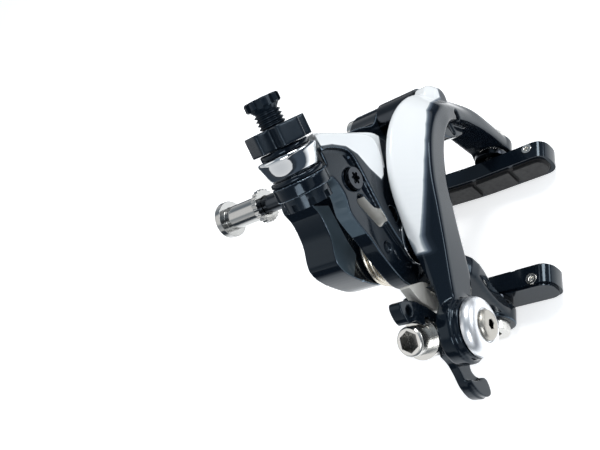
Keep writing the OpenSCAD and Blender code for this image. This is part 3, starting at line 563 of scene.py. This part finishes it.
def turned(profile, segments=72):
    """A piece off the lathe: its closed profile [radius, height], in mm, round the Z axis."""
    let_go()
    bpy.ops.mesh.primitive_circle_add(vertices=segments, radius=profile[0][0] * MM,
                                      fill_type="NOTHING")
    piece = bpy.context.active_object
    bpy.ops.object.mode_set(mode="EDIT")
    bpy.ops.mesh.select_all(action="SELECT")
    bpy.ops.transform.translate(value=(0, 0, profile[0][1] * MM))
    for (r0, h0), (r1, h1) in zip(profile, profile[1:]):
        bpy.ops.mesh.extrude_region_move(
            TRANSFORM_OT_translate={"value": (0, 0, (h1 - h0) * MM)})
        bpy.ops.transform.resize(value=(r1 / r0, r1 / r0, 1))
    bpy.ops.mesh.select_all(action="DESELECT")
    bpy.ops.mesh.select_non_manifold()
    bpy.ops.mesh.bridge_edge_loops()
    bpy.ops.mesh.select_all(action="SELECT")
    bpy.ops.mesh.normals_make_consistent(inside=False)
    bpy.ops.object.mode_set(mode="OBJECT")
    return piece


def seat(piece, foot, axis):
    """Sets a lathe piece with its Z axis along axis and its origin at foot."""
    lean = Vector((0, 0, 1)).rotation_difference(Vector(axis)).to_matrix().to_4x4()
    piece.matrix_world = Matrix.Translation(foot) @ lean
    pick(piece)
    bpy.ops.object.transform_apply(location=True, rotation=True, scale=True)


DISC_R = 7.9
DISC_T = 3.6
DISC_BORE_R = 2.2
BOLT_SEAT_R = 4.4
LIP = 0.35
RIM_FOOT = 0.95
FINE_SEGMENTS = 96
dome_width = DISC_R - BOLT_SEAT_R - LIP
dome_height = DISC_T - 1.1
dome = []
for degrees in range(0, 91, 9):
    angle = math.radians(degrees)
    dome.append((BOLT_SEAT_R + LIP + dome_width * math.cos(angle),
                 RIM_FOOT + dome_height * math.sin(angle)))
lever_disc = turned([
    (DISC_BORE_R, 0), (DISC_R - 0.4, 0), (DISC_R - 0.1, 0.1), (DISC_R, LIP), *dome,
    (BOLT_SEAT_R + 0.1, DISC_T - 0.25), (BOLT_SEAT_R, DISC_T - 0.4),
    (BOLT_SEAT_R, DISC_T - 0.7), (DISC_BORE_R, DISC_T - 0.7)], FINE_SEGMENTS)
seat(lever_disc, disc_seat, (0, -1, 0))
shade(lever_disc, 40)
polished = marked_finish("polished aluminium disc", (0.90, 0.92, 0.95), 1, 300, 0.34, 0.38, 0.03)
stands_for(lever_disc, "lever_disc", polished)

# Lever, clamp block and cable plate
# The lever and the clamp block are forged and anodised gloss black. The plate that guides
# the cable to them is bare stamped metal, dull and scratched.
plain_black = black_anodising("black anodising")
SMALL_GRAIN = 0.2 * MM
forged("lever", SMALL_GRAIN, 8, plain_black)
forged("clamp_block", SMALL_GRAIN, 6, plain_black)
raw_metal = marked_finish("raw forged metal", (0.66, 0.65, 0.61), 0.6, 900, 0.4, 0.55, 0.5)
machined("cable_plate", 0.2 * MM, raw_metal)

# Cable adjuster
# A turned barrel with a coarse thread and a notched flange, a four-lobed moulded nut, and a
# chromed cup between two dark rings, all on one leaning axis.
socket = next(m for m in frame["record"]["mounts"] if m["name"] == "casing_socket")
ADJUSTER_AXIS = Vector(socket["axis"]).normalized()
BARREL_TOP = 24.95
FLANGE_T = 2.4
SOCKET_DEPTH = 9
adjuster_foot = Vector(socket["pos_m"]) + ADJUSTER_AXIS * (SOCKET_DEPTH / 2 - BARREL_TOP) * MM


def chrome_finish(name, clean, worn):
    """Bright chrome plating."""
    return marked_finish(name, (0.82, 0.84, 0.86), 1, 300, clean, worn, 0.03)


def up_adjuster(height):
    """The point on the adjuster's axis at a height, in mm, above its foot."""
    return adjuster_foot + ADJUSTER_AXIS * height * MM


BORE_R = 4.15
CUP_FOOT = 4.35
cup = turned([
    (BORE_R, 0), (5.5, 0), (5.95, 0.1), (6.3, 0.4), (6.6, 1.0), (6.9, 1.9), (7.2, 2.9),
    (7.48, 3.9), (7.7, 4.6), (7.84, 5.0), (7.88, 5.3), (7.8, 5.6), (7.55, 5.8), (7.1, 5.8),
    (6.9, 5.6), (BORE_R, 5.6)], FINE_SEGMENTS)
seat(cup, up_adjuster(CUP_FOOT), ADJUSTER_AXIS)
shade(cup, 40)
stands_for(cup, "adjuster_cup", chrome_finish("chromed cup", 0.03, 0.08))

black_moulding = marked_finish("satin black moulding", (0.006, 0.010, 0.016), 0, 260, 0.18,
                               0.28, 0.05)
moulding_shader = black_moulding.node_tree.nodes["Principled BSDF"]
moulding_shader.inputs["IOR"].default_value = 1.45
moulding_shader.inputs["Specular Tint"].default_value = (0.7, 0.86, 1.0, 1)
RING_BEVEL = 0.3
for node, foot, radius, height in [("adjuster_rim", 3.05, 7.1, 1.3),
                                   ("adjuster_base_ring", 10.15, 6.5, 1.6)]:
    ring = turned([
        (BORE_R, 0), (radius - RING_BEVEL, 0), (radius, RING_BEVEL),
        (radius, height - RING_BEVEL), (radius - RING_BEVEL, height), (BORE_R, height)],
        FINE_SEGMENTS)
    seat(ring, up_adjuster(foot), ADJUSTER_AXIS)
    shade(ring, 50)
    stands_for(ring, node, plain_black)

BARREL_FOOT = -3
THREAD_R = 3.5
THREAD_ROOT = 2.95
THREAD_TURNS = 24
FLANGE_R = 4.7
CABLE_HOLE_R = 1
SOCKET_R = 2.6
NOTCHES = 9
FIRST_NOTCH = math.radians(45)
flange_foot = BARREL_TOP - FLANGE_T
socket_floor = BARREL_TOP - SOCKET_DEPTH
thread = []
for turn in range(THREAD_TURNS):
    height = BARREL_FOOT + 0.7 + turn
    thread += [(THREAD_R, height), (THREAD_R, height + 0.2), (THREAD_ROOT, height + 0.55),
               (THREAD_ROOT, height + 0.65)]
barrel = turned([
    (CABLE_HOLE_R, BARREL_FOOT), (THREAD_ROOT, BARREL_FOOT), *thread,
    (THREAD_R, flange_foot - 0.5), (THREAD_R + 0.3, flange_foot - 0.1),
    (FLANGE_R - 0.3, flange_foot), (FLANGE_R, flange_foot + 0.3),
    (FLANGE_R, BARREL_TOP - 0.4), (FLANGE_R - 0.4, BARREL_TOP),
    (SOCKET_R + 0.2, BARREL_TOP), (SOCKET_R, BARREL_TOP - 0.3),
    (SOCKET_R, socket_floor), (CABLE_HOLE_R, socket_floor)], 64)
let_go()
bpy.ops.mesh.primitive_cube_add(size=1, scale=(1.7 * MM, 1.6 * MM, 6 * MM),
                                location=(FLANGE_R * MM, 0, BARREL_TOP * MM))
mill = bpy.context.active_object
cuts = []
for notch in range(NOTCHES):
    cut = mill.copy()
    cut.data = mill.data.copy()
    bpy.context.scene.collection.objects.link(cut)
    around = FIRST_NOTCH + notch * 2 * math.pi / NOTCHES
    cut.matrix_world = Matrix.Rotation(around, 4, "Z") @ mill.matrix_world
    cuts.append(cut)
bpy.data.objects.remove(mill)
pick(cuts[-1])
for cut in cuts:
    cut.select_set(True)
bpy.ops.object.join()
cutter = bpy.context.active_object
apply_modifier(barrel, "BOOLEAN", operation="DIFFERENCE", object=cutter, solver="EXACT")
bpy.data.objects.remove(cutter)
seat(barrel, adjuster_foot, ADJUSTER_AXIS)
shade(barrel, 35)
stands_for(barrel, "adjuster_barrel", black_moulding)

NUT_FOOT = 11.95
NUT_SHARE = (0.83, 0.83, 0.76)
nut = blank("adjuster_nut")
upright = (Matrix.Translation(up_adjuster(NUT_FOOT))
           @ ADJUSTER_AXIS.to_track_quat("Z", "Y").to_matrix().to_4x4())
nut.matrix_world = upright.inverted()
pick(nut)
bpy.ops.object.transform_apply(location=True, rotation=True, scale=True)
nut.scale = NUT_SHARE
bpy.ops.object.transform_apply(location=True, rotation=True, scale=True)
nut.matrix_world = upright
bpy.ops.object.transform_apply(location=True, rotation=True, scale=True)
apply_modifier(nut, "REMESH", mode="VOXEL", voxel_size=SMALL_GRAIN)
apply_modifier(nut, "SMOOTH", factor=0.5, iterations=7)
shade(nut, 180)
stands_for(nut, "adjuster_nut", black_moulding)
machined("adjuster_seat", 0.3 * MM, black_moulding)
for node in ["left_pivot_ring", "centring_screw"]:
    machined(node, 0.1 * MM, chrome_finish(node + " chrome", 0.05, 0.12))

# Brake pads
# Gloss black aluminium holders, each with a grooved insert of moulded black rubber that
# slides in from the end and is held by a small screw.
rubber = marked_finish("brake rubber", (0.012, 0.0125, 0.0135), 0, 700, 0.5, 0.7, 0.3)
for node in ["left_pad_holder", "right_pad_holder"]:
    machined(node, 0.5 * MM, plain_black, steps=4)
for node in ["left_pad_insert", "right_pad_insert"]:
    machined(node, 0.25 * MM, rubber)

# Studio
# A white floor under the pads, three soft lamps and a bright room, seen by a short lens. Far
# from the brake, the floor is dark to glossy rays only: a painted reflection that darkens what
# polished parts mirror.
FLOOR_SIZE = 6
FLOOR_GAP = 0.2 * MM
FLOOR_GLOW = 0.6
NEAR_FLOOR = 0.12
FAR_FLOOR = 0.19
let_go()
bpy.ops.mesh.primitive_plane_add(
    size=FLOOR_SIZE, location=(0, 0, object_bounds()[0][2] - FLOOR_GAP))
floor = bpy.context.active_object
floor.name = "floor"
floor_finish = bpy.data.materials.new("white floor")
floor_finish.use_nodes = True
paper = floor_finish.node_tree
paper_shader = paper.nodes["Principled BSDF"]
paper_shader.inputs["Roughness"].default_value = 0.9
paper_shader.inputs["Emission Color"].default_value = (1, 1, 1, 1)
sight = shader_node(paper, "LightPath")
spot = shader_node(paper, "NewGeometry")
reach = shader_node(paper, "VectorMath", operation="LENGTH")
far = shader_node(paper, "MapRange", {"From Min": NEAR_FLOOR, "From Max": FAR_FLOOR})
paper_colour = shader_node(paper, "Mix", data_type="RGBA")
paper_colour.inputs["A"].default_value = (0.86, 0.87, 0.88, 1)
paper_colour.inputs["B"].default_value = (0.02, 0.035, 0.055, 1)
# Painted reflection: beyond FAR_FLOOR, glossy rays see the floor dark.
painted_dark_reflection = worked_out(paper, "MULTIPLY", far.outputs["Result"],
                          sight.outputs["Is Glossy Ray"])
seen_or_mirrored = worked_out(paper, "MAXIMUM", sight.outputs["Is Camera Ray"],
                              sight.outputs["Is Glossy Ray"])
seen_at_all = worked_out(paper, "MAXIMUM", seen_or_mirrored,
                         sight.outputs["Is Transmission Ray"])
bright = worked_out(paper, "SUBTRACT", seen_at_all, painted_dark_reflection)
glow = worked_out(paper, "MULTIPLY", bright, FLOOR_GLOW)
paper.links.new(spot.outputs["Position"], reach.inputs[0])
paper.links.new(reach.outputs["Value"], far.inputs["Value"])
paper.links.new(painted_dark_reflection, paper_colour.inputs["Factor"])
paper.links.new(paper_colour.outputs["Result"], paper_shader.inputs["Base Color"])
paper.links.new(glow, paper_shader.inputs["Emission Strength"])
floor.data.materials.append(floor_finish)


def soft_lamp(name, place, width, height, watts, colour):
    """A soft rectangular lamp, sizes in metres, turned towards the brake."""
    let_go()
    bpy.ops.object.light_add(type="AREA", location=place)
    lamp = bpy.context.active_object
    lamp.name = name
    lamp.data.shape = "RECTANGLE"
    lamp.data.size = width
    lamp.data.size_y = height
    lamp.data.energy = watts
    lamp.data.color = colour
    lamp.rotation_euler = (-Vector(place)).to_track_quat("-Z", "Y").to_euler()


WARM_LIGHT = (1, 0.99, 0.97)
COOL_LIGHT = (0.94, 0.97, 1)
soft_lamp("key lamp", (0.35, -0.25, 0.5), 0.24, 0.24, 2.6, WARM_LIGHT)
soft_lamp("fill lamp", (-0.5, -0.25, 0.3), 0.3, 0.2, 1.3, COOL_LIGHT)
soft_lamp("front lamp", (0.23, -0.66, 0.09), 0.4, 0.14, 1.0, COOL_LIGHT)

world = bpy.context.scene.world or bpy.data.worlds.new("room")
bpy.context.scene.world = world
world.use_nodes = True
room = world.node_tree
room.nodes.clear()
direction = shader_node(room, "TexCoord")
parts = shader_node(room, "SeparateXYZ")
raised = shader_node(room, "MapRange", {"From Min": -1})
fall = shader_node(room, "ValToRGB")
fall.color_ramp.elements[0].position = 0.42
fall.color_ramp.elements[0].color = (1.15, 1.15, 1.15, 1)
fall.color_ramp.elements[1].position = 0.8
fall.color_ramp.elements[1].color = (0.30, 0.35, 0.40, 1)
room.links.new(direction.outputs["Generated"], parts.inputs["Vector"])
room.links.new(parts.outputs["Z"], raised.inputs["Value"])
room.links.new(raised.outputs["Result"], fall.inputs["Fac"])


def with_card(under, towards, start, full, colour):
    """The room's light with one card in it, by the cosine of the angle to its middle."""
    facing = shader_node(room, "VectorMath", {1: Vector(towards).normalized()},
                         operation="DOT_PRODUCT")
    edge = shader_node(room, "MapRange", {"From Min": start, "From Max": full})
    laid = shader_node(room, "Mix", data_type="RGBA")
    laid.inputs["B"].default_value = (*colour, 1)
    room.links.new(direction.outputs["Generated"], facing.inputs[0])
    room.links.new(facing.outputs["Value"], edge.inputs["Value"])
    room.links.new(edge.outputs["Result"], laid.inputs["Factor"])
    room.links.new(under, laid.inputs["A"])
    return laid.outputs["Result"]


dark_card = with_card(fall.outputs["Color"], (-0.62, -0.62, 0.48), 0.86, 0.95,
                      (0.05, 0.06, 0.075))
both_cards = with_card(dark_card, (-0.21, 0.63, 0.74), 0.88, 0.95, (1.3, 1.3, 1.3))
lit = shader_node(room, "Background", {"Strength": 0.75})
seen = shader_node(room, "Background", {"Color": (1, 1, 1, 1)})
rays = shader_node(room, "LightPath")
choose = shader_node(room, "MixShader")
room_out = shader_node(room, "OutputWorld")
room.links.new(both_cards, lit.inputs["Color"])
room.links.new(rays.outputs["Is Camera Ray"], choose.inputs["Fac"])
room.links.new(lit.outputs["Background"], choose.inputs[1])
room.links.new(seen.outputs["Background"], choose.inputs[2])
room.links.new(choose.outputs["Shader"], room_out.inputs["Surface"])

lens_right = Vector((0.1166, -0.7304, -0.6730))
lens_down = Vector((-0.8586, 0.2664, -0.4379))
lens_ahead = Vector((0.4992, 0.6289, -0.5961))
let_go()
bpy.ops.object.camera_add(location=(-0.1293, -0.1374, 0.1391))
camera = bpy.context.active_object
camera.rotation_euler = Matrix((lens_right, -lens_down, -lens_ahead)).transposed().to_euler()
camera.data.sensor_width = 36
camera.data.lens = 45.96
camera.data.clip_start = 0.005
bpy.context.scene.camera = camera
bpy.context.scene.view_settings.view_transform = "Standard"
